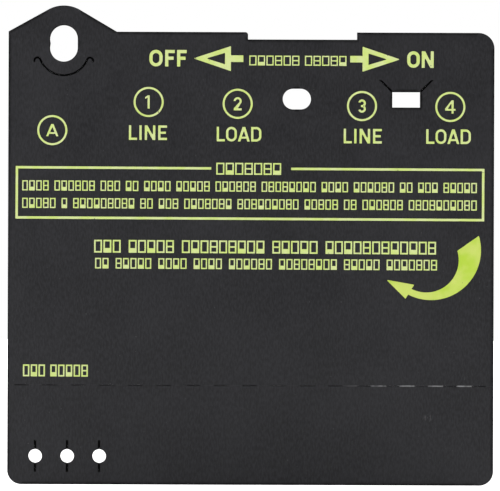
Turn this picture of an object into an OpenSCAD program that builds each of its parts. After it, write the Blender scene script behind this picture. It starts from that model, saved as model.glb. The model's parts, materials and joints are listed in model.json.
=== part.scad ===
// Insulating cover card for the wiring end of a manual switch: one die-cut sheet with fold
// lines, a spring tongue and a snap lip, and a screen-printed legend. Lengths in millimetres.
// X is width, Z is up, and the printed face looks toward -Y. The origin is the pivot seat,
// the centre of the ear hole's upper lobe, on the sheet's mid-plane.

/* [Sheet] */
// Width between the side edges
card_width = 110; // [108:0.5:114]
// Height of the sheet below its straight top edge
card_height = 102.5; // [101:0.5:106]
// Thickness of the sheet
sheet_thickness = 0.8; // [0.5:0.05:1]
// Distance from the left edge to the pivot's centre
pivot_inset = 12.5; // [12:0.1:13.5]
// Height of the straight top edge above the pivot seat
top_edge_z = 1.7; // [1:0.1:2]
// Radius of the top right corner
top_corner_r = 3.6; // [2:0.1:5]
// Radius of the two bottom corners
bottom_corner_r = 3.2; // [2:0.1:5]
// Width of every die-cut slit
slit_width = 0.3; // [0.24:0.02:0.36]

/* [Top recess] */
// Distance from the pivot's centre line to the recess
recess_start = 41.7; // [38:0.1:44]
// Length of the recess
recess_length = 24.7; // [20:0.1:28]
// Depth of the recess below the top edge
recess_depth = 1.65; // [1:0.05:2.5]
// Radius of the corner where the recess begins
recess_corner_r = 0.6; // [0.3:0.05:0.9]

/* [Ear and pivot] */
// Radius of the ear's rounded top
ear_r = 7.3; // [6.5:0.1:7.6]
// Height of the ear arc's centre above the pivot seat
ear_lift = 0.3; // [0:0.05:0.5]
// Distance from the pivot's centre line to the foot of the right slope
ear_foot = 12; // [11:0.1:13]
// Radius of the pivot seat
pivot_r = 3.15; // [2.8:0.05:3.3]
// Distance between the hole's two seats
pivot_drop = 1.95; // [1.5:0.05:2.4]
// How far the nub between the two seats stands into the hole
pivot_nub = 0.12; // [0.05:0.01:0.2]
// Depth of the curved slit's lowest point below the pivot seat
smile_drop = 8.2; // [8:0.05:8.6]
// Radius of the hooked ends of the curved slit
hook_r = 0.7; // [0.6:0.05:0.8]
// Half the distance between the two hooked ends' centres
hook_x = 5.95; // [5.8:0.05:6.2]
// Depth of the hooked ends' centres below the pivot seat
hook_drop = 4.9; // [4.7:0.05:5.1]

/* [Openings] */
// Distance of the slot hole from the pivot's centre line
slot_x = 52.8; // [50:0.1:56]
// Depth of the slot hole below the pivot seat
slot_drop = 13.4; // [13:0.1:15]
// Length of the slot hole
slot_length = 6.4; // [5.6:0.1:7.2]
// Height of the slot hole
slot_height = 4.7; // [4:0.1:5.2]
// Distance of the window from the pivot's centre line
window_x = 77.55; // [76:0.05:79]
// Depth of the window's top edge below the pivot seat
window_drop = 11.75; // [11.5:0.05:12.3]
// Width of the window
window_width = 6.3; // [5.8:0.1:6.6]
// Height of the window
window_height = 3.5; // [3:0.1:4]

/* [Keeper tongue] */
// Height of the tongue from its root line to the window
tongue_height = 2.6; // [2.4:0.1:2.8]

/* [Crease and flap] */
// Depth of the fold line below the pivot seat
crease_drop = 78.3; // [77.5:0.1:82]
// Number of cut dashes along the fold line
dash_count = 17; // [11:1:17]
// Length of one cut dash
dash_length = 3.1; // [2:0.1:3.8]
// Spacing of the cut dashes
dash_pitch = 6.47; // [5:0.01:6.5]
// Distance from the left edge to the first dash
dash_margin = 1.55; // [1:0.05:1.8]
// Depth of the score across the lands between the dashes
land_score = 0.1; // [0.05:0.01:0.2]
// Number of expanding holes in the flap
flap_holes = 3; // [1:1:6]
// Radius of one expanding hole
flap_hole_r = 1.55; // [1.2:0.05:1.8]
// Spacing of the expanding holes
flap_hole_pitch = 7.25; // [6.5:0.05:8]
// Distance of the first expanding hole to the left of the pivot's centre line
flap_hole_start = 6.2; // [5.5:0.05:7]
// Height of the expanding holes above the bottom edge
flap_hole_lift = 6.4; // [5:0.1:8]
// Reach of the slits above and below an expanding hole's centre
flap_slit_reach = 3.45; // [2.5:0.05:4]

/* [Print] */
// Thickness of the ink
ink_thickness = 0.05; // [0.03:0.01:0.1]
// Slight clockwise turn of every printed mark
print_tilt = 0.15; // [0:0.05:0.6]
// Mean radius of the rings round the terminal numbers
ring_r = 3.18; // [2.8:0.02:3.5]
// Stroke of the rings
ring_stroke = 0.45; // [0.3:0.05:0.8]
// Height of the numbers in the rings
number_height = 3; // [2.4:0.1:3.4]
// Height of the words under the rings
word_height = 3.3; // [2.8:0.1:3.6]
// Height of the words beside the two arrows
state_height = 3.75; // [3.2:0.05:4]
// Stroke of the notice frame
frame_stroke = 0.55; // [0.4:0.05:0.9]

// Stroke of the words and numbers, as a share of their height
word_stroke = 0.155; // [0.12:0.005:0.18]
// Stroke of the words beside the two arrows, as a share of their height
state_stroke = 0.195; // [0.15:0.005:0.22]
// Stroke of the filler rows, as a share of their height
filler_stroke = 0.12; // [0.08:0.01:0.16]

/* [Hidden] */
$fn = 96;
block_space = 0.3;
t2 = sheet_thickness / 2;
g = slit_width;
left = -pivot_inset;
right = card_width - pivot_inset;
bottom = top_edge_z - card_height;
crease_z = -crease_drop;
eps = 0.01;

// The curved slit is one arc that runs into a hook at each end without a corner.
smile_z = (hook_x * hook_x + hook_drop * hook_drop - pow(smile_drop + hook_r, 2))
    / (2 * (smile_drop + hook_r - hook_drop));
smile_r = smile_z + smile_drop;
smile_a = atan2(-hook_drop - smile_z, hook_x);
lip_top = -hook_drop + 0.6;

// The tongue's side slits run out at 45 degrees from the window's corners to the root line.
root_z = -window_drop + tongue_height;
side_gap = g * sqrt(2);
tongue_half = (window_width - side_gap) / 2;

card_black = [0.19, 0.19, 0.2];
web_black = [0.24, 0.24, 0.25];
ink_green = [0.78, 0.85, 0.44];

function ray(a, r) = [r * cos(a), r * sin(a)];
// The same outline on the right or the left, always listed counter-clockwise.
function handed(v, s) = s > 0 ? v : [for (i = [len(v) - 1 : -1 : 0]) [-v[i][0], v[i][1]]];
function total(v, n) = n == 0 ? 0 : v[n - 1] + total(v, n - 1);

// ---- shared shapes ----

// Stands a flat shape up in the plane of the sheet, from y0 back to y1.
module stand(y0, y1) {
    translate([0, y1, 0]) rotate([90, 0, 0]) linear_extrude(y1 - y0) children();
}

module sheet() {
    stand(-t2, t2) children();
}

// One mark on the printed face, turned with the rest of the print.
module printed(x, z) {
    stand(-t2 - ink_thickness, -t2) translate([x, z]) rotate(-print_tilt) children();
}

module box2(x0, z0, x1, z1) {
    translate([x0, z0]) square([x1 - x0, z1 - z0]);
}

module ring2(r, w) {
    difference() {
        circle(r = r + w / 2);
        circle(r = r - w / 2);
    }
}

// A hole with round ends, long along X.
module slot2(l, h) {
    box2(-(l - h) / 2, -h / 2, (l - h) / 2, h / 2);
    for (s = [-1, 1]) translate([s * (l - h) / 2, 0]) circle(r = h / 2);
}

// ---- the sheet ----

module rounded_corner(x, z, sx, sz, r) {
    difference() {
        box2(min(x, x - sx * r) - (sx < 0 ? eps : 0), min(z, z - sz * r) - (sz < 0 ? eps : 0),
            max(x, x - sx * r) + (sx > 0 ? eps : 0), max(z, z - sz * r) + (sz > 0 ? eps : 0));
        translate([x - sx * r, z - sz * r]) circle(r = r);
    }
}

// The ear: a round top with a straight slope down to the top edge on each side.
module ear2() {
    dz = top_edge_z - ear_lift;
    // The slopes run a hair inside the arc, so that they cross it and don't only touch it.
    er = ear_r - 0.003;
    la = asin(er / norm([left, dz])) + atan2(-dz, -left);
    ra = asin(er / norm([ear_foot, dz])) + atan2(-dz, ear_foot);
    translate([0, ear_lift]) {
        circle(r = ear_r);
        polygon([[left, dz - 1], [ear_foot, dz - 1], [ear_foot, dz], ray(90 - ra, er),
            ray(90 + la, er), [left, dz]]);
    }
}

module outline2() {
    difference() {
        union() {
            box2(left, bottom, right, top_edge_z);
            ear2();
        }
        rounded_corner(right, top_edge_z, 1, 1, top_corner_r);
        rounded_corner(right, bottom, 1, -1, bottom_corner_r);
        rounded_corner(left, bottom, -1, -1, bottom_corner_r);
        box2(recess_start, top_edge_z - recess_depth, recess_start + recess_length, top_edge_z + 1);
        rounded_corner(recess_start, top_edge_z, 1, 1, recess_corner_r);
    }
}

// The ear hole: an upper seat, a lower seat, and a nub between them on the left.
module pivot_hole2() {
    circle(r = pivot_r);
    translate([0, -pivot_drop]) circle(r = pivot_r);
    box2(-pivot_r + pivot_nub, -pivot_drop, pivot_r, 0);
}

// The curved slit under the ear hole, with its hooked ends.
module smile_slit2() {
    intersection() {
        translate([0, smile_z]) ring2(smile_r, g);
        translate([0, smile_z]) polygon([[0, 0], ray(180 - smile_a, 12), [-12, -12], [12, -12],
            ray(smile_a, 12)]);
    }
    for (s = [-1, 1]) translate([s * hook_x, -hook_drop]) {
        intersection() {
            ring2(hook_r, g);
            polygon(handed([[0, 0], ray(-12, 3), [3, 3], [-3, 3], ray(181.5 + smile_a, 3)], s));
        }
        translate([s * hook_r * cos(12), -hook_r * sin(12)]) circle(r = g / 2);
    }
}

// Everything inside the curved slit, up to the lip's bending line.
module lip_zone2() {
    difference() {
        intersection() {
            translate([0, smile_z]) circle(r = smile_r);
            box2(-12, -20, 12, lip_top);
        }
        for (s = [-1, 1]) translate([s * hook_x, -hook_drop]) circle(r = hook_r);
    }
}

module tongue_pocket2() {
    a = tongue_half + side_gap;
    translate([window_x, -window_drop]) {
        polygon([[-a, 0], [a, 0], [a + tongue_height, tongue_height],
            [-a - tongue_height, tongue_height]]);
        box2(-window_width / 2, -window_height, window_width / 2, eps);
    }
}

module card_panel() {
    color(card_black) sheet() difference() {
        outline2();
        box2(left - 1, bottom - 1, right + 1, crease_z + g / 2);
        pivot_hole2();
        smile_slit2();
        lip_zone2();
        tongue_pocket2();
        translate([slot_x, -slot_drop]) slot2(slot_length, slot_height);
    }
}

module fold_flap() {
    color(card_black) sheet() difference() {
        outline2();
        box2(left - 1, crease_z - g / 2, right + 1, top_edge_z + 20);
        for (i = [0 : flap_holes - 1])
            translate([-flap_hole_start + i * flap_hole_pitch, bottom + flap_hole_lift]) {
                circle(r = flap_hole_r);
                box2(-g * 0.6, -flap_slit_reach, g * 0.6, flap_slit_reach);
            }
    }
}

// The uncut lands between the dashes carry the flap and bend when it folds.
module crease_lands() {
    color(web_black) stand(-t2 + land_score, t2) difference() {
        box2(left, crease_z - g / 2, right, crease_z + g / 2);
        for (i = [0 : dash_count - 1]) {
            x = left + dash_margin + i * dash_pitch;
            box2(x, crease_z - g, x + dash_length, crease_z + g);
        }
    }
}

// The tongue hangs from its root line and springs over a hook in the window.
module keeper_tongue() {
    a = tongue_half;
    b = tongue_half + tongue_height - g;
    color(card_black) sheet() translate([window_x, -window_drop])
        polygon([[-a, 0], [a, 0], [b, tongue_height - g], [-b, tongue_height - g]]);
}

module tongue_web() {
    b = tongue_half + tongue_height;
    color(web_black) stand(-t2 + land_score, t2) translate([window_x, root_z])
        polygon([[-b + g, -g], [b - g, -g], [b, 0], [-b, 0]]);
}

module lip2() {
    difference() {
        lip_zone2();
        smile_slit2();
        pivot_hole2();
    }
}

// The strap between the ear hole and the curved slit.
module pivot_lip() {
    color(card_black) sheet() intersection() {
        lip2();
        box2(-12, -20, 12, lip_top - g);
    }
}

module lip_webs() {
    color(web_black) stand(-t2 + land_score, t2) intersection() {
        lip2();
        box2(-12, lip_top - g, 12, lip_top);
    }
}

// ---- plain marks used by the legend ----

// Round-ended upright ring, for an O.
module mark_o(w, h, s) {
    translate([w / 2, h / 2]) difference() {
        rotate(90) slot2(h, w);
        rotate(90) slot2(h - 2 * s, w - 2 * s);
    }
}

module mark_d(w, h, s) {
    r = w * 0.5;
    difference() {
        union() {
            box2(0, 0, w - r, h);
            box2(0, r, w, h - r);
            for (z = [r, h - r]) translate([w - r, z]) circle(r = r);
        }
        box2(s, s, w - r, h - s);
        box2(s, r, w - s, h - r);
        for (z = [r, h - r]) translate([w - r, z]) circle(r = r - s);
    }
}

module mark_n(w, h, s) {
    box2(0, 0, s, h);
    box2(w - s, 0, w, h);
    polygon([[0, h], [w - s * 1.15, 0], [w, 0], [s * 1.15, h]]);
}

module mark_a(w, h, s) {
    polygon([[0, 0], [s * 1.1, 0], [w / 2, h - s * 1.5], [w - s * 1.1, 0], [w, 0],
        [w / 2 + s * 0.6, h], [w / 2 - s * 0.6, h]]);
    box2(w * 0.22, h * 0.2, w * 0.78, h * 0.2 + s * 0.85);
}

module mark_bars(w, h, s, bars) {
    box2(0, 0, s, h);
    for (b = bars) box2(0, b * (h - s), w * (b == 0.5 ? 0.88 : 1), b * (h - s) + s);
}

module number_1(h, s) {
    box2(-s / 2, -h / 2, s / 2, h / 2);
    polygon([[-s / 2, h / 2], [-s * 1.7, h / 2 - s * 0.9], [-s * 1.7, h / 2 - s * 1.8],
        [-s / 2, h / 2 - s]]);
}

module number_2(h, s) {
    r = h * 0.3;
    translate([0, h / 2 - r]) difference() {
        ring2(r - s / 2, s);
        polygon([[0, 0], ray(178, h), [-h, -h], [h, -h], ray(-40, h)]);
    }
    translate([0, h / 2 - r]) polygon([ray(-40, r), ray(-38, r - s), [-r, r + s - h],
        [-r, r - h], [-r + s * 1.4, r - h]]);
    box2(-r, -h / 2, r, -h / 2 + s);
}

module number_3(h, s) {
    r = (h + s) / 4;
    for (m = [-1, 1]) translate([0, m * (h / 2 - r)]) difference() {
        ring2(r - s / 2, s);
        polygon([[0, 0], [-h, m * h * 0.3], [-h, -m * h], [0, -m * h]]);
    }
    box2(-s * 0.5, -s / 2, 0.01, s / 2);
}

module number_4(h, s) {
    w = h * 0.78;
    stem = w * 0.12;
    foot = -h * 0.28;
    box2(stem, -h / 2, stem + s, h / 2);
    box2(-w / 2, foot, w / 2, foot + s * 0.85);
    polygon([[-w / 2, foot], [-w / 2 + s * 0.75, foot], [stem + s * 0.7, h / 2], [stem, h / 2],
        [-w / 2, foot + s * 0.95]]);
}

// LINE and LOAD, set out from the middle of the word.
module word_line(h) {
    s = h * word_stroke;
    translate([-h * 1.31, -h / 2]) {
        mark_bars(h * 0.56, h, s, [0]);
        translate([h * 0.72, 0]) box2(0, 0, s, h);
        translate([h * 1.09, 0]) mark_n(h * 0.72, h, s);
        translate([h * 2.01, 0]) mark_bars(h * 0.6, h, s, [0, 0.5, 1]);
    }
}

module word_load(h) {
    s = h * word_stroke;
    translate([-h * 1.53, -h / 2]) {
        mark_bars(h * 0.56, h, s, [0]);
        translate([h * 0.64, 0]) mark_o(h * 0.74, h, s);
        translate([h * 1.45, 0]) mark_a(h * 0.82, h, s);
        translate([h * 2.36, 0]) mark_d(h * 0.7, h, s);
    }
}

// One block of a filler row: a plain box with one opening, two, or a solid foot.
module filler_block(k, w, h, s) {
    difference() {
        box2(0, 0, w, h);
        if (k == 0) box2(s, s, w - s, h - s);
        if (k == 1) box2(s, s, w - s, (h - s) / 2);
        if (k == 1) box2(s, (h + s) / 2, w - s, h - s);
        if (k == 2) box2(s, h * 0.36, w - s, h - s);
    }
}

// A row of filler blocks grouped like words, centred on its own middle.
module filler_row(words, length, h, gap) {
    s = h * filler_stroke;
    n = len(words);
    pitch = (length - gap * (n - 1)) / total(words, n);
    for (i = [0 : n - 1]) for (j = [0 : words[i] - 1]) {
        k = total(words, i) + j;
        translate([-length / 2 + k * pitch + i * gap, -h / 2])
            filler_block((k * 5 + i) % 7 % 3, pitch - block_space, h, s);
    }
}

// An arrow head with an open middle and a short tail, its tip at the origin, pointing to -X.
module state_arrow2() {
    difference() {
        polygon([[0, 0], [8.5, -2.83], [8.5, 2.83]]);
        polygon([[2.9, 0], [7.15, -1.3], [7.15, 1.3]]);
    }
    box2(8.5 - eps, -0.75, 11.3, 0.75);
}

// ---- the printed legend ----

module ink_arrow_off() {
    color(ink_green) printed(29.35, -4.29) state_arrow2();
}

module ink_arrow_on() {
    color(ink_green) printed(76.13, -4.37) mirror([1, 0]) state_arrow2();
}

module ink_word_off() {
    h = state_height;
    color(ink_green) printed(23.6, -4.26) translate([-h * 1.125, -h / 2]) {
        mark_o(h * 0.8, h, h * state_stroke);
        translate([h * 0.95, 0]) mark_bars(h * 0.58, h, h * state_stroke, [0.5, 1]);
        translate([h * 1.67, 0]) mark_bars(h * 0.58, h, h * state_stroke, [0.5, 1]);
    }
}

module ink_word_on() {
    h = state_height;
    color(ink_green) printed(80.73, -4.38) translate([-h * 0.8, -h / 2]) {
        mark_o(h * 0.76, h, h * state_stroke);
        translate([h * 0.88, 0]) mark_n(h * 0.72, h, h * state_stroke * 0.92);
    }
}

module ink_lever_label() {
    color(ink_green) printed(53.14, -4.73) filler_row([6, 5], 22.3, 2.25, 0.95);
}

module ink_ring_a() {
    h = number_height * 0.93;
    color(ink_green) printed(-2.53, -20.64) {
        ring2(ring_r, ring_stroke);
        translate([-h / 2, -h / 2]) mark_a(h, h, h * word_stroke);
    }
}

module ink_ring_1() {
    color(ink_green) printed(19.25, -14.19) {
        ring2(ring_r, ring_stroke);
        number_1(number_height, number_height * word_stroke);
    }
}

module ink_ring_2() {
    color(ink_green) printed(39.4, -14.53) {
        ring2(ring_r, ring_stroke);
        number_2(number_height, number_height * word_stroke);
    }
}

module ink_ring_3() {
    color(ink_green) printed(67.54, -14.95) {
        ring2(ring_r, ring_stroke);
        number_3(number_height, number_height * word_stroke);
    }
}

module ink_ring_4() {
    color(ink_green) printed(87.53, -15.08) {
        ring2(ring_r, ring_stroke);
        number_4(number_height, number_height * word_stroke);
    }
}

module ink_line_1() {
    color(ink_green) printed(19.13, -21.14) word_line(word_height);
}

module ink_load_2() {
    color(ink_green) printed(39.73, -21.41) word_load(word_height);
}

module ink_line_3() {
    color(ink_green) printed(67.75, -21.76) word_line(word_height);
}

module ink_load_4() {
    color(ink_green) printed(87.15, -21.81) word_load(word_height);
}

// The notice frame runs nearly the full width and is open at the top for its heading.
module ink_notice_frame() {
    w = card_width - 3.9;
    h = 11.9;
    color(ink_green) printed((left + right) / 2 - 0.25, -34.87) difference() {
        box2(-w / 2, -h / 2, w / 2, h / 2);
        box2(-w / 2 + frame_stroke, -h / 2 + frame_stroke, w / 2 - frame_stroke,
            h / 2 - frame_stroke);
        box2(-8.8, 0, 9.3, h);
    }
}

module ink_notice_heading() {
    color(ink_green) printed(42.1, -29.25) filler_row([7], 15, 2.7, 0);
}

module ink_notice_text() {
    color(ink_green) {
        printed(42.3, -33.28) filler_row([4, 6, 3, 2, 4, 5, 6, 8, 4, 6, 2, 3, 5], 103.2, 2.3, 1);
        printed(42.3, -37.24) filler_row([5, 1, 9, 2, 3, 7, 9, 5, 2, 6, 10], 103.2, 2.3, 1.05);
    }
}

module ink_step_heading() {
    color(ink_green) printed(45.86, -46.96) filler_row([3, 5, 9, 5, 12], 77.7, 2.9, 1.5);
}

module ink_step_text() {
    color(ink_green) printed(46.1, -50.81) filler_row([2, 5, 4, 4, 6, 8, 5, 7], 77.7, 2.4, 1.3);
}

// A tapering curved arrow: two arcs about different centres, and a three-sided head.
module ink_swing_arrow() {
    c = [-1.06, -2.26];
    r_out = 11.3;
    r_in = 7.33;
    from = 17;
    to = -117.5;
    dir_from = ray(from, r_out) - c - ray(from, r_in);
    dir_to = ray(to, r_out) - c - ray(to, r_in);
    neck = (ray(to, r_out) + c + ray(to, r_in)) / 2;
    along = dir_to / norm(dir_to);
    ahead = [along[1], -along[0]];
    color(ink_green) printed(83.28, -47.51) {
        intersection() {
            difference() {
                circle(r = r_out);
                translate(c) circle(r = r_in);
            }
            polygon([c, c + ray(to, r_in), c + ray(to, r_in) + dir_to * 3, [16, -16],
                c + ray(from, r_in) + dir_from * 2, c + ray(from, r_in)]);
        }
        polygon([neck + along * 1.87 - ahead * 0.1, neck - along * 1.87 - ahead * 0.1,
            neck + ahead * 5.85 + along * 0.5]);
    }
}

module ink_code_blocks() {
    color(ink_green) printed(-1.5, -75.04) filler_row([3, 5], 15, 2.7, 0.9);
}

card_panel();
fold_flap();
crease_lands();
keeper_tongue();
tongue_web();
pivot_lip();
lip_webs();
ink_arrow_off();
ink_arrow_on();
ink_word_off();
ink_word_on();
ink_lever_label();
ink_ring_a();
ink_ring_1();
ink_ring_2();
ink_ring_3();
ink_ring_4();
ink_line_1();
ink_load_2();
ink_line_3();
ink_load_4();
ink_notice_frame();
ink_notice_heading();
ink_notice_text();
ink_step_heading();
ink_step_text();
ink_swing_arrow();
ink_code_blocks();
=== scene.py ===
import json
import math

import bmesh
import bpy
import numpy as np
from mathutils import Matrix, Vector, noise
from mathutils.geometry import delaunay_2d_cdt


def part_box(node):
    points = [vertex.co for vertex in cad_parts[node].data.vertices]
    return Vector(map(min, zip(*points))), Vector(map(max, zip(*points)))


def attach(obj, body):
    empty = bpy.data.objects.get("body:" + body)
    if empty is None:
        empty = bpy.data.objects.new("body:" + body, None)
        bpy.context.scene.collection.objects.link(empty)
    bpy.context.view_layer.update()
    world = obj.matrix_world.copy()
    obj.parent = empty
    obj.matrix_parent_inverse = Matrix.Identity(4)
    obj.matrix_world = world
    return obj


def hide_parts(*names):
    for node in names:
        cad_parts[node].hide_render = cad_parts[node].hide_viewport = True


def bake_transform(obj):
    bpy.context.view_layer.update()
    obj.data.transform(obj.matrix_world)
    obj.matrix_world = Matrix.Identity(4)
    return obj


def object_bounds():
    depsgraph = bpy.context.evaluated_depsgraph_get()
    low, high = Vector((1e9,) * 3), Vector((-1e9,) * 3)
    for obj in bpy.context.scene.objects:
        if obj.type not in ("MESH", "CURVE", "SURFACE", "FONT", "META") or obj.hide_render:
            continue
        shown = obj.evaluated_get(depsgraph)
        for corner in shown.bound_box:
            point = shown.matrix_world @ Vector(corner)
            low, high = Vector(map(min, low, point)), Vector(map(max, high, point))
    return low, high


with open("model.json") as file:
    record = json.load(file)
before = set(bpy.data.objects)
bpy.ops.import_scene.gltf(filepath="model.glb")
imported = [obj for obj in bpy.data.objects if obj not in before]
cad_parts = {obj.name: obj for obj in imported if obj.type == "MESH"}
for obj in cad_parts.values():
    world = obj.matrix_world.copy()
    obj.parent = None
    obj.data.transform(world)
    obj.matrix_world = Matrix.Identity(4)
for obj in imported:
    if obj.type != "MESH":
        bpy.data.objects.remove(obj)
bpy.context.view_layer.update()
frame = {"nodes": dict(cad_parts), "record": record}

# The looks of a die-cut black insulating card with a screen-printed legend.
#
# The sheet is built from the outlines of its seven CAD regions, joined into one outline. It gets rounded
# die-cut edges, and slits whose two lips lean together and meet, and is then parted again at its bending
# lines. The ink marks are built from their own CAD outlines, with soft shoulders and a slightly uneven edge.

MM = 0.001

SHEET_NODES = ["card_panel", "fold_flap", "crease_lands", "keeper_tongue", "tongue_web", "pivot_lip",
               "lip_webs"]
INK_NODES = [name for name in frame["nodes"] if name.startswith("ink_")]

# Lengths below are in millimetres, as the outlines are until a mesh is made.
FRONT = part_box("card_panel")[0].y / MM
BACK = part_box("card_panel")[1].y / MM
CREASE_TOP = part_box("crease_lands")[1].z / MM
CREASE_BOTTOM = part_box("crease_lands")[0].z / MM
SLIT = CREASE_TOP - CREASE_BOTTOM
CREASE_Z = (CREASE_TOP + CREASE_BOTTOM) / 2

EDGE_ROUND = 0.09        # rounding of a free die-cut edge, on the printed side
SLIT_ROUND = 0.035       # rounding of a slit's lips
BACK_ROUND = 0.5         # the back's rounding, as a share of the front's
WIDEST_SLIT = 0.25       # half the width of the widest gap that counts as a slit
MOSTLY_SLIT = 0.6        # an outline with more than this share of slit edges is a slit all round
LIP_GAP = 0.0005         # what is left open where a slit's lips meet, on each side
LIP_THICKNESS = 0.15     # how deep the leaning ridge is, each way from where the lips meet
DASH_MEET = 0.06         # how far short of the back a crease cut's lips meet
DASH_OPEN = 0.3          # how far open a crease cut is at the printed face, as a share of its width
SCORE_DEPTH = 0.05       # depth of the crease across the lands
BEND_CUTS = 9            # cuts across each bending strip
JOIN = 0.002             # outline corners closer than this are one corner
ARC_LEAST = math.radians(0.5)    # a corner that turns less than this is on a straight stretch
ARC_MOST = math.radians(20)      # and one that turns more than this is a real corner
ARC_STEP = math.radians(2.5)     # turn between two corners of a smoothed round stretch
FRONT_TURNS = [math.radians(a) for a in (90, 60, 30, 0)]
BACK_TURNS = [math.radians(a) for a in (0, 45, 90)]
EDGE_PAINTED_SHADE = 0.85        # how much painted shade darkens the face beside a free edge, from 0 to 1
SLIT_PAINTED_SHADE = 1.0         # how much painted shade darkens a slit's lips, for the shade inside the slit
DASH_PAINTED_SHADE = 0.65        # how much painted shade darkens a crease cut's lips
EDGE_BANDS = (0.75, 0.4, 0.12)       # width of the painted shade band on the face beside a free edge
SLIT_BANDS = (0.12,)                 # and beside a slit
DASH_BANDS = (0.04,)                 # and beside a crease cut
BAND_STEP = 0.5          # spacing of the points along the band


# ---- outlines, taken from the CAD nodes' flat faces ----

def flat_triangles(node, back):
    """The triangles of a node's front or back face as (x, z) points, each listed counter-clockwise."""
    mesh = frame["nodes"][node].data
    mesh.calc_loop_triangles()
    co = np.array([v.co for v in mesh.vertices]) / MM
    level = co[:, 1].max() if back else co[:, 1].min()
    found = []
    for tri in mesh.loop_triangles:
        points = co[list(tri.vertices)]
        if np.abs(points[:, 1] - level).max() > JOIN:
            continue
        a, b, c = points[:, [0, 2]]
        turn = (b[0] - a[0]) * (c[1] - a[1]) - (b[1] - a[1]) * (c[0] - a[0])
        if abs(turn) > 1e-9:
            found.append((a, b, c) if turn > 0 else (a, c, b))
    return found


class Corners:
    """Gives each point a number, and points closer than JOIN the same number."""

    def __init__(self):
        self.points = []
        self.cells = {}

    def number(self, p):
        cell = (round(p[0] / JOIN), round(p[1] / JOIN))
        for dx in (-1, 0, 1):
            for dz in (-1, 0, 1):
                for k in self.cells.get((cell[0] + dx, cell[1] + dz), []):
                    if np.hypot(*(self.points[k] - p)) < JOIN:
                        return k
        self.points.append(np.array(p, float))
        self.cells.setdefault(cell, []).append(len(self.points) - 1)
        return len(self.points) - 1


def border_edges(triangles, corners):
    """The directed edges that one triangle has and no other shares, with the material on their left."""
    edges = set()
    for tri in triangles:
        ids = [corners.number(p) for p in tri]
        for a, b in zip(ids, ids[1:] + ids[:1]):
            if a == b:
                continue
            if (b, a) in edges:
                edges.remove((b, a))
            else:
                edges.add((a, b))
    return edges


def split_at_corners(edges, corners):
    """Splits every edge at the corners that lie on it, so that regions which meet share whole edges."""
    used = sorted({k for e in edges for k in e})
    points = np.array([corners.points[k] for k in used])
    parts = []
    for a, b in edges:
        p, q = corners.points[a], corners.points[b]
        along = (q - p) / np.hypot(*(q - p))
        t = (points - p) @ along
        off = np.abs((points - p) @ np.array([along[1], -along[0]]))
        on = np.where((off < JOIN) & (t > JOIN) & (t < np.hypot(*(q - p)) - JOIN))[0]
        chain = [a] + [used[i] for i in on[np.argsort(t[on])]] + [b]
        parts += list(zip(chain, chain[1:]))
    left = set()
    for a, b in parts:
        if (b, a) in left:
            left.remove((b, a))
        else:
            left.add((a, b))
    return left


def chained(edges, corners):
    """Closed loops of points, without the corners that lie on a straight line."""
    after = {a: b for a, b in edges}
    loops = []
    while after:
        k, b = after.popitem()
        loop = [k]
        while b != loop[0]:
            loop.append(b)
            b = after.pop(b)
        points = np.array([corners.points[i] for i in loop])
        into = points - np.roll(points, 1, 0)
        onward = np.roll(points, -1, 0) - points
        bend = np.abs(into[:, 0] * onward[:, 1] - into[:, 1] * onward[:, 0])
        bend /= np.hypot(*into.T) * np.hypot(*onward.T)
        loops.append(points[bend > 1e-4])
    return loops


def smoothed(loop):
    """Puts more corners on the round stretches: runs of equal edges, each turned a little from the last."""
    ahead = np.roll(loop, -1, 0) - loop
    length = np.hypot(*ahead.T)
    angle = np.arctan2(ahead[:, 1], ahead[:, 0])
    turn = (angle - np.roll(angle, 1) + math.pi) % (2 * math.pi) - math.pi
    alike = np.abs(length / np.roll(length, 1) - 1) < 0.03
    steady = np.where(alike & (np.abs(turn) > ARC_LEAST) & (np.abs(turn) < ARC_MOST), turn, 0)
    points = []
    for i, p in enumerate(loop):
        points.append(p)
        bends = [b for b in (steady[i], steady[(i + 1) % len(loop)]) if b]
        if not bends:
            continue
        bend = sum(bends) / len(bends)
        count = math.ceil(abs(bend) / ARC_STEP)
        normal = np.array([ahead[i][1], -ahead[i][0]]) / length[i]
        radius = length[i] / (2 * math.sin(bend / 2))
        for k in range(1, count):
            a = bend * (k / count - 0.5)
            along = (math.sin(a) / math.sin(bend / 2) + 1) / 2
            points.append(p + ahead[i] * along + normal * radius * (math.cos(a) - math.cos(bend / 2)))
    return np.array(points)


def outline_of(nodes, back=True):
    corners = Corners()
    edges = []
    for node in nodes:
        edges += border_edges(flat_triangles(node, back), corners)
    return [smoothed(loop) for loop in chained(split_at_corners(edges, corners), corners)]


# ---- offsets ----

def edge_normals(loop):
    """Each edge's unit normal, out of the material."""
    along = np.roll(loop, -1, 0) - loop
    along /= np.hypot(*along.T)[:, None]
    return np.stack([along[:, 1], -along[:, 0]], 1)


def offset(loop, amounts):
    """Moves each edge of the loop out by its own amount, and gives the new corners."""
    n2 = edge_normals(loop)
    d2 = amounts
    n1 = np.roll(n2, 1, 0)
    d1 = np.roll(d2, 1)
    c = np.clip((n1 * n2).sum(1), -0.95, 1)
    same = ((d1 + d2) / 2 / (1 + c))[:, None] * (n1 + n2)
    apart = np.where(1 - c > 1e-4, (d1 - d2) / 2 / np.maximum(1 - c, 1e-4), 0)[:, None] * (n1 - n2)
    return loop + same + apart


def half_gap(p, n, walls):
    """Radius of the largest circle that touches p on its open side and crosses no wall."""
    d = walls - p
    front = d @ n
    ahead = front > 1e-4
    return ((d[ahead] ** 2).sum(1) / (2 * front[ahead])).min() if ahead.any() else np.inf


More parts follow.
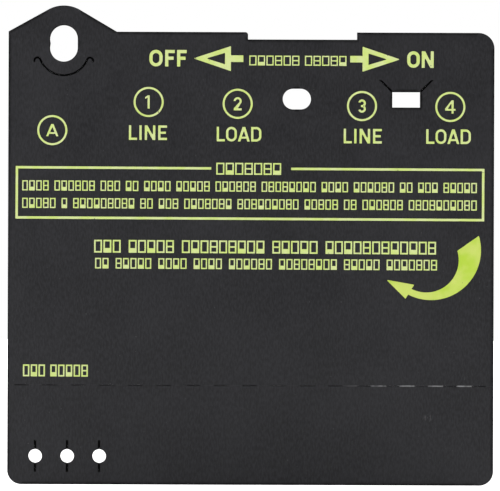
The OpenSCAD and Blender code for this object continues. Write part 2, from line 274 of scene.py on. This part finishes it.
def slit_halves(loops):
    """For each edge, half the width of the slit it borders, or 0 where it borders no slit."""
    step = 0.03
    walls = []
    for loop in loops:
        for p, q in zip(loop, np.roll(loop, -1, 0)):
            count = max(2, int(np.hypot(*(q - p)) / step)) if np.hypot(*(q - p)) < 6 else 2
            walls.append(p + (q - p) * np.linspace(0, 1, count)[:, None])
    walls = np.concatenate(walls)
    found = []
    for loop in loops:
        normals = edge_normals(loop)
        widths = np.zeros(len(loop))
        for i, (p, q) in enumerate(zip(loop, np.roll(loop, -1, 0))):
            near = walls[np.hypot(*(walls - (p + q) / 2).T) < 1 + np.hypot(*(q - p))]
            radii = [half_gap(p + (q - p) * t, normals[i], near) for t in (0.3, 0.5, 0.7)]
            if max(radii) < WIDEST_SLIT and max(radii) - min(radii) < 0.1 * max(radii):
                widths[i] = round(float(np.median(radii)) / 0.01) * 0.01
        if (widths > 0).mean() > MOSTLY_SLIT:
            widths[:] = np.median(widths[widths > 0])
        found.append(widths)
    return found


# ---- solids from outlines ----

def filled(loops, extra=()):
    """Triangles that fill the loops, as corner numbers into the loops and the extra points end to end."""
    points = [Vector(p) for loop in loops for p in loop] + [Vector(p) for p in extra]
    edges = []
    first = 0
    for loop in loops:
        edges += [(first + i, first + (i + 1) % len(loop)) for i in range(len(loop))]
        first += len(loop)
    out, _, faces, origin, _, _ = delaunay_2d_cdt(points, edges, [], 0, 1e-6)
    out = np.array(out)
    centres = np.array([out[list(f)].mean(0) for f in faces])
    ends = np.array([[points[a], points[b]] for a, b in edges])
    inside = np.zeros(len(centres), bool)
    for (ax, az), (bx, bz) in ends:
        crosses = (az > centres[:, 1]) != (bz > centres[:, 1])
        if crosses.any():
            x = ax + (centres[:, 1] - az) * (bx - ax) / (bz - az if bz != az else 1e-12)
            inside ^= crosses & (centres[:, 0] < x)
    numbers = [o[0] for o in origin]
    return [tuple(numbers[k] for k in f) for f, keep in zip(faces, inside) if keep]


def solid(name, levels, band=()):
    """A closed mesh. levels[k][i] is loop i's (corners, depths, shades) at level k, from front to back.
    The shades say how much painted shade darkens the face by the edge, and the band's points are where that
    painted shade ends on the face."""
    bm = bmesh.new()
    # Each corner carries how much painted shade darkens the face next to it.
    painted_shade = bm.verts.layers.float.new("painted_shade")
    rings = []
    for level in levels:
        rings.append([])
        for corners, depths, shades in level:
            ring = []
            for (x, z), y, shade in zip(corners, depths, shades):
                v = bm.verts.new((x * MM, y * MM, z * MM))
                v[painted_shade] = shade
                ring.append(v)
            rings[-1].append(ring)
    for upper, lower in zip(rings, rings[1:]):
        for ring_a, ring_b in zip(upper, lower):
            for i in range(len(ring_a)):
                j = (i + 1) % len(ring_a)
                face = bm.faces.new((ring_a[i], ring_b[i], ring_b[j], ring_a[j]))
                face.smooth = True
    inner = [bm.verts.new((x * MM, levels[0][0][1][0] * MM, z * MM)) for x, z in band]
    for level, ring_set, more, turn in ((levels[0], rings[0], inner, 1), (levels[-1], rings[-1], [], -1)):
        verts = [v for ring in ring_set for v in ring] + more
        for tri in filled([row[0] for row in level], band if more else ()):
            bm.faces.new([verts[k] for k in tri[::turn]])
    bmesh.ops.recalc_face_normals(bm, faces=bm.faces)
    mesh = bpy.data.meshes.new(name)
    bm.to_mesh(mesh)
    bm.free()
    return mesh


def place(name, mesh, material):
    piece = bpy.data.objects.new(name, mesh)
    bpy.context.scene.collection.objects.link(piece)
    mesh.materials.append(material)
    return piece


# ---- the sheet ----

def is_dash(loop):
    return np.abs(loop[:, 1] - CREASE_Z).max() < SLIT


def painted_edge_shades(loop, half):
    """How much painted shade darkens the face by the edge at each corner. The tongue's tip gets as much
    painted shade as the slits beside it.
    """
    if is_dash(loop):
        return np.full(len(loop), DASH_PAINTED_SHADE)
    low, high = (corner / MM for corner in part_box("keeper_tongue"))
    x, z = loop.T
    on_tongue = (x > low.x - SLIT) & (x < high.x + SLIT) & (z > low.z - SLIT) & (z < high.z + SLIT)
    beside_slit = (half > 0) | (np.roll(half, 1) > 0)
    return np.where(on_tongue | beside_slit, SLIT_PAINTED_SHADE, EDGE_PAINTED_SHADE)


def sheet_levels(loops, halves):
    """Each loop's corners, depths and shades at every level, from the printed face to the back."""
    levels = [[] for _ in range(len(FRONT_TURNS) + 3 + len(BACK_TURNS))]
    for loop, half in zip(loops, halves):
        dash = is_dash(loop)
        radius = np.where(half > 0, SLIT_ROUND, EDGE_ROUND)
        corner_radius = np.minimum(radius, np.roll(radius, 1))
        closed = np.maximum(half - LIP_GAP, 0)
        # A crease cut is nearly shut at the face and its lips meet near the back, which the flap turns
        # on. Any other slit's lips meet halfway through the sheet, where its tongue or lip turns.
        at_face, at_back = (1 - DASH_OPEN, 0.8) if dash else (0, 0)
        meet = BACK - DASH_MEET if dash else (FRONT + BACK) / 2
        rows = [(at_face * closed - radius * (1 - math.cos(a)), FRONT + corner_radius * (1 - math.sin(a)))
                for a in FRONT_TURNS]
        radius = radius * BACK_ROUND
        corner_radius = corner_radius * BACK_ROUND
        whole = np.ones(len(loop))
        rows.append((at_face * closed, (meet - LIP_THICKNESS) * whole))
        rows.append((closed, meet * whole))
        rows.append((at_back * closed, min(meet + LIP_THICKNESS, (meet + BACK) / 2) * whole))
        rows += [(at_back * closed - radius * (1 - math.cos(a)), BACK - corner_radius * (1 - math.sin(a)))
                 for a in BACK_TURNS]
        # Painted shade for each corner: free edges, slit lips, crease cuts and the tongue's tip.
        shade = painted_edge_shades(loop, half)
        for level, (amount, depth) in zip(levels, rows):
            level.append((offset(loop, amount), depth, shade if level is not levels[-1] else shade * 0))
    return levels


def wall_points(loops, step):
    """Points along the loops, at most this far apart."""
    walls = []
    for loop in loops:
        for p, q in zip(loop, np.roll(loop, -1, 0)):
            count = int(np.hypot(*(q - p)) / step) + 2
            walls.append(p + (q - p) * np.linspace(0, 1, count, endpoint=False)[:, None])
    return np.concatenate(walls)


def band_points(loops, halves):
    """Points on the face where the painted shade band along its edges ends."""
    walls = wall_points(loops, 0.1)
    found = []
    for loop, half in zip(loops, halves):
        normals = edge_normals(loop)
        short = np.hypot(*(np.roll(loop, -1, 0) - loop).T) < 2 * SLIT
        at_slit = (half > 0) | (short & (np.roll(half, 1) > 0) & (np.roll(half, -1) > 0))
        for i, (p, q) in enumerate(zip(loop, np.roll(loop, -1, 0))):
            before = normals[i - 1]
            here = normals[i]
            halfway = (before + here) / max(np.hypot(*(before + here)), 0.1)
            starts = [(p, before), (p, halfway), (p, here)]
            count = int(np.hypot(*(q - p)) / BAND_STEP) + 1
            starts += [(p + (q - p) * k / count, here) for k in range(1, count + 1)]
            widths = DASH_BANDS if is_dash(loop) else SLIT_BANDS if at_slit[i] else EDGE_BANDS
            for base, normal in starts:
                for width in widths:
                    spot = base - normal * width
                    clear = np.hypot(*(walls - spot).T).min() > width * 0.93
                    crowded = any(np.hypot(*(spot - other)) < width * 0.4 for other in found[-40:])
                    if clear and not crowded:
                        found.append(spot)
                        break
    return found


def cut(bm, faces, z):
    """Cuts these faces at the level z."""
    geom = list({v for f in faces for v in f.verts} | {e for f in faces for e in f.edges}) + list(faces)
    bmesh.ops.bisect_plane(bm, geom=geom, dist=1e-7, plane_co=(0, 0, z * MM), plane_no=(0, 0, 1))


def islands(faces):
    """The groups of faces that hang together."""
    left = set(faces)
    groups = []
    while left:
        group = set()
        waiting = [left.pop()]
        while waiting:
            face = waiting.pop()
            group.add(face)
            for e in face.edges:
                for other in e.link_faces:
                    if other in left:
                        left.remove(other)
                        waiting.append(other)
        groups.append(group)
    return groups


def within(faces, node, room):
    """True if the faces lie inside the CAD node's box, with this much room to spare along X."""
    low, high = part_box(node)
    xs = [v.co.x for f in faces for v in f.verts]
    return min(xs) > low.x - room * MM and max(xs) < high.x + room * MM


def strip_faces(bm, node):
    """Cuts the sheet at a bending strip's two lines, and gives the strip's faces, cut across."""
    low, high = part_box(node)
    bottom = low.z / MM
    top = high.z / MM
    for z in (bottom, top):
        cut(bm, bm.faces, z)
    level = [f for f in bm.faces if bottom < f.calc_center_median().z / MM < top]
    strips = [g for g in islands(level) if within(g, node, SLIT)]
    tag = bm.faces.layers.int.get("region")
    number = SHEET_NODES.index(node) + 1
    for f in (f for g in strips for f in g):
        f[tag] = number
    for k in range(1, BEND_CUTS + 1):
        z = bottom + (top - bottom) * k / (BEND_CUTS + 1)
        cut(bm, [f for f in bm.faces if f[tag] == number], z)


def press_score(bm):
    """Dents the printed face along the crease."""
    for v in bm.verts:
        u = (v.co.z / MM - CREASE_Z) / (SLIT / 2)
        if abs(u) < 1:
            share = (BACK - v.co.y / MM) / (BACK - FRONT)
            v.co.y += SCORE_DEPTH * MM * (1 - u * u) ** 2 * share


def build_sheet(materials):
    """The whole sheet as one skin, parted at its bending strips into a closed piece for each CAD node."""
    bm = bmesh.new()
    loops = outline_of(SHEET_NODES)
    halves = slit_halves(loops)
    levels = sheet_levels(loops, halves)
    bm.from_mesh(solid("sheet", levels, band_points([row[0] for row in levels[0]], halves)))
    tag = bm.faces.layers.int.new("region")
    for node in ("crease_lands", "tongue_web", "lip_webs"):
        strip_faces(bm, node)
    press_score(bm)
    for group in islands([f for f in bm.faces if not f[tag]]):
        homes = [n for n in ("keeper_tongue", "pivot_lip") if within(group, n, SLIT)]
        below = max(v.co.z for f in group for v in f.verts) / MM < CREASE_Z
        number = SHEET_NODES.index(homes[0] if homes else "fold_flap" if below else "card_panel") + 1
        for f in group:
            f[tag] = number
    pieces = {}
    for number, node in enumerate(SHEET_NODES, 1):
        part = bm.copy()
        tag = part.faces.layers.int.get("region")
        bmesh.ops.delete(part, geom=[f for f in part.faces if f[tag] != number], context="FACES")
        made = bmesh.ops.holes_fill(part, edges=[e for e in part.edges if e.is_boundary], sides=0)
        for f in made["faces"]:
            f.smooth = False
        bmesh.ops.recalc_face_normals(part, faces=part.faces)
        part.faces.layers.int.remove(part.faces.layers.int.get("region"))
        mesh = bpy.data.meshes.new("sheet_" + node)
        part.to_mesh(mesh)
        part.free()
        piece = place("sheet_" + node, mesh, materials[slot_of(node)])
        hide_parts(node)
        pieces[node] = piece
    bm.free()
    return pieces


def slot_of(node):
    return next(p["material_slot"] for p in frame["record"]["subparts"] if p["node"] == node)


def body_of(node):
    return next(b for b, nodes in frame["record"]["behaviour"]["bodies"].items() if node in nodes)


def fasten_sheet(pieces):
    """Rigid regions ride on their bodies; the strips keep their place and are fastened to no body."""
    for node in ("card_panel", "fold_flap", "keeper_tongue", "pivot_lip"):
        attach(pieces[node], body_of(node))
    for node, child in (("crease_lands", "flap"), ("tongue_web", "tongue"), ("lip_webs", "lip")):
        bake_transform(pieces[node])


# ---- the ink ----

INK_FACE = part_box(INK_NODES[0])[0].y / MM
INK_SINK = 0.005         # how far the ink's base sits in the sheet
INK_SHOULDER = 0.022     # rounding of the ink's edge
INK_CORNER = 0.045       # rounding of its corners, seen from the front
INK_STEP = 0.5           # spacing of the corners along its straight edges
INK_WAVER = 0.007        # how far its edge strays
INK_TURNS = [math.radians(a) for a in (90, 55, 25, 0)]
SHARP = math.radians(25)


def softened(loop):
    """Rounds the sharp corners and puts corners along the straight stretches."""
    closed = np.vstack([loop, loop[:1]])
    length = np.hypot(*np.diff(closed, axis=0).T)
    at = np.concatenate([[0], np.cumsum(length)])
    total = at[-1]

    def walk(s):
        return np.stack([np.interp(s % total, at, closed[:, 0]), np.interp(s % total, at, closed[:, 1])], -1)

    counts = (length / INK_STEP).astype(int) + 1
    stops = np.concatenate([s + n * np.arange(c) / c for s, n, c in zip(at, length, counts)])
    angle = np.arctan2(*np.diff(closed, axis=0).T[::-1])
    turn = np.abs((angle - np.roll(angle, 1) + math.pi) % (2 * math.pi) - math.pi)
    sharp = np.where(turn > SHARP)[0]
    points = [(s, p) for s, p in zip(stops, walk(stops))]
    for n, k in enumerate(sharp):
        last = at[sharp[n - 1]]
        following = at[sharp[(n + 1) % len(sharp)]]
        room = min((at[k] - last) % total or total, (following - at[k]) % total or total)
        reach = min(INK_CORNER * math.sin(turn[k] / 2) / math.cos(turn[k] / 2) ** 2, 0.45 * room)
        away = np.abs((stops - at[k] + total / 2) % total - total / 2)
        dropped = set(stops[away < reach * 1.2])
        points = [(s, p) for s, p in points if s not in dropped]
        start = walk(at[k] - reach)
        end = walk(at[k] + reach)
        for t in (0, 0.3, 0.7, 1):
            bow = (1 - t) ** 2 * start + 2 * t * (1 - t) * loop[k] + t * t * end
            points.append(((at[k] + (2 * t - 1) * reach) % total, bow))
    return np.array([p for _, p in sorted(points, key=lambda item: item[0])])


def wavered(loop):
    """Moves the corners in and out a little, as a printed edge strays."""
    normals = edge_normals(loop)
    normals = normals + np.roll(normals, 1, 0)
    normals /= np.hypot(*normals.T)[:, None]
    stray = [noise.noise((x * 1.7, z * 1.7, 0)) + 0.5 * noise.noise((x * 5, 7, z * 5)) for x, z in loop]
    return loop + normals * np.array(stray)[:, None] * INK_WAVER


def build_ink(node, materials):
    levels = [[] for _ in range(len(INK_TURNS) + 1)]
    for loop in outline_of([node], back=False):
        loop = wavered(softened(loop))
        whole = np.ones(len(loop))
        for level, a in zip(levels, INK_TURNS):
            inset = -INK_SHOULDER * (1 - math.cos(a)) * whole
            depth = INK_FACE + INK_SHOULDER * (1 - math.sin(a))
            level.append((offset(loop, inset), depth * whole, 0 * whole))
        levels[-1].append((loop, (FRONT + INK_SINK) * whole, 0 * whole))
    piece = place(node + "_print", solid(node + "_print", levels), materials[slot_of(node)])
    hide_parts(node)
    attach(piece, body_of(node))
    return piece


# ---- materials ----

class Nodes:
    """A material's node tree, with short calls for the nodes that this script uses."""

    def __init__(self, name):
        self.material = bpy.data.materials.new(name)
        self.material.use_nodes = True
        self.tree = self.material.node_tree
        self.shader = self.tree.nodes["Principled BSDF"]
        self.place = self.add("ShaderNodeTexCoord").outputs["Object"]

    def add(self, kind, **settings):
        made = self.tree.nodes.new(kind)
        for key, value in settings.items():
            setattr(made, key, value)
        return made

    def feed(self, socket, value):
        if isinstance(value, bpy.types.NodeSocket):
            self.tree.links.new(value, socket)
        else:
            socket.default_value = value

    def math(self, operation, a, b=0.0, clamp=False):
        made = self.add("ShaderNodeMath", operation=operation, use_clamp=clamp)
        self.feed(made.inputs[0], a)
        self.feed(made.inputs[1], b)
        return made.outputs[0]

    def noise(self, size_mm, detail=2.0, stretch=None, roughness=0.5):
        """Noise with features of this size, from 0 to 1, longer along one axis if stretch is given."""
        vector = self.place
        if stretch:
            mapping = self.add("ShaderNodeMapping")
            self.feed(mapping.inputs["Vector"], self.place)
            mapping.inputs["Scale"].default_value = stretch
            vector = mapping.outputs[0]
        made = self.add("ShaderNodeTexNoise")
        self.feed(made.inputs["Vector"], vector)
        made.inputs["Scale"].default_value = 1 / (size_mm * MM)
        made.inputs["Detail"].default_value = detail
        made.inputs["Roughness"].default_value = roughness
        return made.outputs["Fac"]

    def ranged(self, value, low, high, to_low=0.0, to_high=1.0):
        made = self.add("ShaderNodeMapRange", interpolation_type="SMOOTHSTEP")
        self.feed(made.inputs["Value"], value)
        for key, number in (("From Min", low), ("From Max", high), ("To Min", to_low), ("To Max", to_high)):
            made.inputs[key].default_value = number
        return made.outputs[0]

    def mixed(self, share, a, b):
        made = self.add("ShaderNodeMix", data_type="RGBA")
        self.feed(made.inputs["Factor"], share)
        self.feed(made.inputs["A"], a)
        self.feed(made.inputs["B"], b)
        return made.outputs["Result"]

    def bump(self, height, depth_mm, under=None):
        made = self.add("ShaderNodeBump")
        made.inputs["Distance"].default_value = depth_mm * MM
        self.feed(made.inputs["Height"], height)
        if under:
            self.feed(made.inputs["Normal"], under)
        return made.outputs["Normal"]


def grey(value, blue=1.15, alpha=1.0):
    return (value, value, value * blue, alpha)


SHEET_DARK = 0.0085      # base colour of the sheet in its darker patches
SHEET_LIGHT = 0.0122     # and in its lighter ones
SHEET_GRAIN = 0.03       # the lightest of its fibre grain
SHEET_PAINTED_SHADE = 0.002       # the painted shade that darkens its edges, slit lips and crease cuts
SPECK = 0.07             # dust and scuff specks
SCUFF_AT = (0.0827, -0.0004, -0.0855)    # a small scuff on the flap, in metres


def painted_edge_shade(n):
    """How much painted shade darkens the sheet here, a little uneven along its edges."""
    painted_shade = n.add("ShaderNodeAttribute", attribute_name="painted_shade").outputs["Fac"]
    return n.math("MULTIPLY", painted_shade, n.ranged(n.noise(1.6, 3), 0.3, 0.6, 0.7, 1))


def sheet_colour(n):
    """Broad patches, a fine fibre grain, rare specks and painted shade along the edges and slits."""
    patches = n.ranged(n.noise(22, 3), 0.35, 0.65)
    grain = n.ranged(n.noise(0.35, 3, stretch=(1, 1, 0.35)), 0.3, 0.7)
    colour = n.mixed(patches, grey(SHEET_DARK), grey(SHEET_LIGHT))
    colour = n.mixed(n.math("MULTIPLY", grain, 0.45), colour, grey(SHEET_GRAIN))
    specks = n.ranged(n.noise(0.55, 1), 0.785, 0.82, 0, 0.6)
    colour = n.mixed(specks, colour, grey(SPECK, 1.0))
    far = n.add("ShaderNodeVectorMath", operation="DISTANCE")
    n.feed(far.inputs[0], n.place)
    far.inputs[1].default_value = SCUFF_AT
    scratched = n.ranged(n.noise(0.3, 1, stretch=(1, 1, 0.3)), 0.5, 0.62)
    scuff = n.math("MULTIPLY", n.ranged(far.outputs["Value"], 0.0004, 0.0011, 0.8, 0), scratched)
    colour = n.mixed(scuff, colour, grey(SPECK, 1.0))
    # Painted shade: the colour darkens toward the edges, slit lips, crease cuts and the tongue's tip.
    return n.mixed(painted_edge_shade(n), colour, grey(SHEET_PAINTED_SHADE, 1.0))


def sheet_finish(n):
    """Satin, with handling marks that vary the gloss, fine scratches and a light moulded grain."""
    smears = n.noise(9, 4, roughness=0.6)
    scratches = n.noise(0.5, 2, stretch=(0.05, 1, 1))
    roughness = n.ranged(n.math("ADD", smears, n.math("MULTIPLY", scratches, 0.3)), 0.4, 0.85, 0.36, 0.5)
    n.feed(n.shader.inputs["Roughness"], roughness)
    # The specular level drops under the painted shade, which darkens the edges further.
    n.feed(n.shader.inputs["Specular IOR Level"], n.ranged(painted_edge_shade(n), 0, 1, 0.25, 0.03))
    grain = n.bump(n.noise(0.16, 3), 0.004)
    orange = n.bump(n.noise(1.3, 2), 0.004, grain)
    n.feed(n.shader.inputs["Normal"], n.bump(scratches, 0.002, orange))


def sheet_material():
    n = Nodes("satin_black_sheet")
    n.feed(n.shader.inputs["Base Color"], sheet_colour(n))
    sheet_finish(n)
    return n.material


def bend_material(first_land, pitch, land_share):
    """The sheet where it bends: painted highlights on the crease lands, as broken glints that are brightest
    over a stretch toward the right end.
    """
    n = Nodes("black_sheet_painted_glints")
    split = n.add("ShaderNodeSeparateXYZ")
    n.feed(split.inputs[0], n.place)
    along = n.math("DIVIDE", n.math("SUBTRACT", split.outputs["X"], first_land * MM), pitch * MM)
    spot = n.math("PINGPONG", along, 0.5)
    on_land = n.ranged(spot, land_share / 2 - 0.02, land_share / 2 + 0.02, 1, 0)
    # The painted highlight rises from 60 to 80 mm along X and stops near 93 mm.
    rising = n.ranged(split.outputs["X"], 0.06, 0.08, 0.03, 1)
    used = n.math("MULTIPLY", rising, n.ranged(split.outputs["X"], 0.0925, 0.0935, 1, 0.05))
    patchy = n.ranged(n.noise(0.8, 3), 0.3, 0.62, 0.35, 1)
    on_crease = n.ranged(split.outputs["Z"], (CREASE_Z + 3) * MM, (CREASE_Z + 2) * MM)
    painted_glint = n.math("MULTIPLY", n.math("MULTIPLY", on_land, on_crease), n.math("MULTIPLY", used, patchy))
    # Painted highlight: the lands are lightened toward a pale grey.
    n.feed(n.shader.inputs["Base Color"], n.mixed(painted_glint, sheet_colour(n), grey(0.2, 1.02)))
    sheet_finish(n)
    return n.material


def ink_material(name, dense, thin, patch):
    """Screen ink: dense and thin patches of this size, rare voids, a faint mesh mark and a dull surface."""
    n = Nodes(name)
    cover = n.ranged(n.noise(patch, 3), 0.36, 0.64)
    colour = n.mixed(cover, dense, thin)
    pits = n.ranged(n.noise(0.22, 2), 0.62, 0.8, 0, 0.5)
    colour = n.mixed(pits, colour, tuple(c * 0.5 for c in thin[:3]) + (1,))
    voids = n.ranged(n.noise(0.75, 1), 0.775, 0.8, 0, 0.85)
    colour = n.mixed(voids, colour, grey(0.06))
    n.feed(n.shader.inputs["Base Color"], colour)
    n.feed(n.shader.inputs["Roughness"], n.ranged(n.noise(0.8, 3), 0.3, 0.7, 0.42, 0.6))
    n.shader.inputs["Specular IOR Level"].default_value = 0.35
    weave = n.bump(n.noise(0.09, 1), 0.003)
    n.feed(n.shader.inputs["Normal"], n.bump(n.noise(0.7, 2), 0.006, weave))
    return n.material


def make_materials():
    dashes = [loop[:, 0] for loop in outline_of(SHEET_NODES) if is_dash(loop)]
    middles = sorted(x.mean() for x in dashes)
    pitch = (middles[-1] - middles[0]) / (len(dashes) - 1)
    return {
        "sheet": sheet_material(),
        "bend": bend_material(middles[0] + pitch / 2, pitch, 1 - np.ptp(dashes[0]) / pitch),
        "ink": ink_material("screen_ink", (0.56, 0.68, 0.19, 1), (0.6, 0.68, 0.29, 1), 2.6),
        "ink_bright": ink_material("screen_ink_solid", (0.42, 0.6, 0.04, 1), (0.54, 0.64, 0.13, 1), 6),
    }


# ---- floor, light and camera ----

# Lengths below are in metres, but the lens and the sensor are in millimetres.
LENS = 150.0
SENSOR = 36.0
VIEW_WIDTH = 0.11317     # what the picture is wide at the card
VIEW_CENTRE = (0.0423, -0.0466)    # the x and z that the camera looks at
VIEW_ROLL = math.radians(0.2)      # the card hangs this much out of square in the picture
FLOOR_DROP = 0.004       # floor below the card's lower edge
FLOOR_SIZE = 1.3
WORLD_LIGHT = 0.22       # strength of the soft grey light from all round
CLIP_NEAR = 0.01
CLIP_FAR = 50


def build_floor():
    low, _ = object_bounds()
    bm = bmesh.new()
    bmesh.ops.create_grid(bm, x_segments=8, y_segments=8, size=FLOOR_SIZE / 2)
    mesh = bpy.data.meshes.new("floor")
    bm.to_mesh(mesh)
    bm.free()
    n = Nodes("pale_floor")
    n.feed(n.shader.inputs["Base Color"], n.mixed(n.noise(300, 2), (0.86, 0.86, 0.86, 1), (0.9, 0.9, 0.9, 1)))
    n.shader.inputs["Roughness"].default_value = 0.7
    n.shader.inputs["Specular IOR Level"].default_value = 0.2
    floor = place("floor", mesh, n.material)
    floor.location = (VIEW_CENTRE[0], FLOOR_SIZE / 8, low.z - FLOOR_DROP)


def build_world():
    """White to the camera, and a soft grey as a light."""
    world = bpy.data.worlds.new("studio")
    world.use_nodes = True
    bpy.context.scene.world = world
    tree = world.node_tree
    tree.nodes.clear()
    path = tree.nodes.new("ShaderNodeLightPath")
    seen = tree.nodes.new("ShaderNodeBackground")
    seen.inputs["Color"].default_value = (1, 1, 1, 1)
    light = tree.nodes.new("ShaderNodeBackground")
    light.inputs["Color"].default_value = (1, 1, 1, 1)
    light.inputs["Strength"].default_value = WORLD_LIGHT
    mix = tree.nodes.new("ShaderNodeMixShader")
    out = tree.nodes.new("ShaderNodeOutputWorld")
    tree.links.new(path.outputs["Is Camera Ray"], mix.inputs[0])
    tree.links.new(light.outputs[0], mix.inputs[1])
    tree.links.new(seen.outputs[0], mix.inputs[2])
    tree.links.new(mix.outputs[0], out.inputs["Surface"])


def soft_box(name, place_at, aim, size, power):
    data = bpy.data.lights.new(name, "AREA")
    data.shape = "RECTANGLE"
    data.size = size[0]
    data.size_y = size[1]
    data.energy = power
    box = bpy.data.objects.new(name, data)
    bpy.context.scene.collection.objects.link(box)
    box.location = place_at
    box.rotation_euler = (Vector(aim) - Vector(place_at)).to_track_quat("-Z", "Y").to_euler()
    box.visible_camera = False


def build_lights():
    middle = (VIEW_CENTRE[0], 0, VIEW_CENTRE[1])
    soft_box("key", (-0.62, -0.72, 0.45), middle, (0.7, 0.7), 6)
    soft_box("fill", (0.8, -0.62, 0.12), middle, (0.6, 0.8), 3.6)
    soft_box("overhead", (0.04, 0.9, 1.0), (0.04, 0.8, -0.1), (2.4, 1.7), 52)


def build_camera():
    data = bpy.data.cameras.new("camera")
    data.lens = LENS
    data.sensor_width = SENSOR
    camera = bpy.data.objects.new("camera", data)
    bpy.context.scene.collection.objects.link(camera)
    away = LENS * VIEW_WIDTH / SENSOR
    camera.location = (VIEW_CENTRE[0], FRONT * MM - away, VIEW_CENTRE[1])
    turn = Matrix.Rotation(math.radians(90), 3, "X") @ Matrix.Rotation(VIEW_ROLL, 3, "Z")
    camera.rotation_euler = turn.to_euler()
    data.clip_start = CLIP_NEAR
    data.clip_end = CLIP_FAR
    bpy.context.scene.camera = camera


materials = make_materials()
fasten_sheet(build_sheet(materials))
for ink_node in INK_NODES:
    build_ink(ink_node, materials)
build_floor()
build_world()
build_lights()
build_camera()
bpy.context.scene.view_settings.view_transform = "Standard"
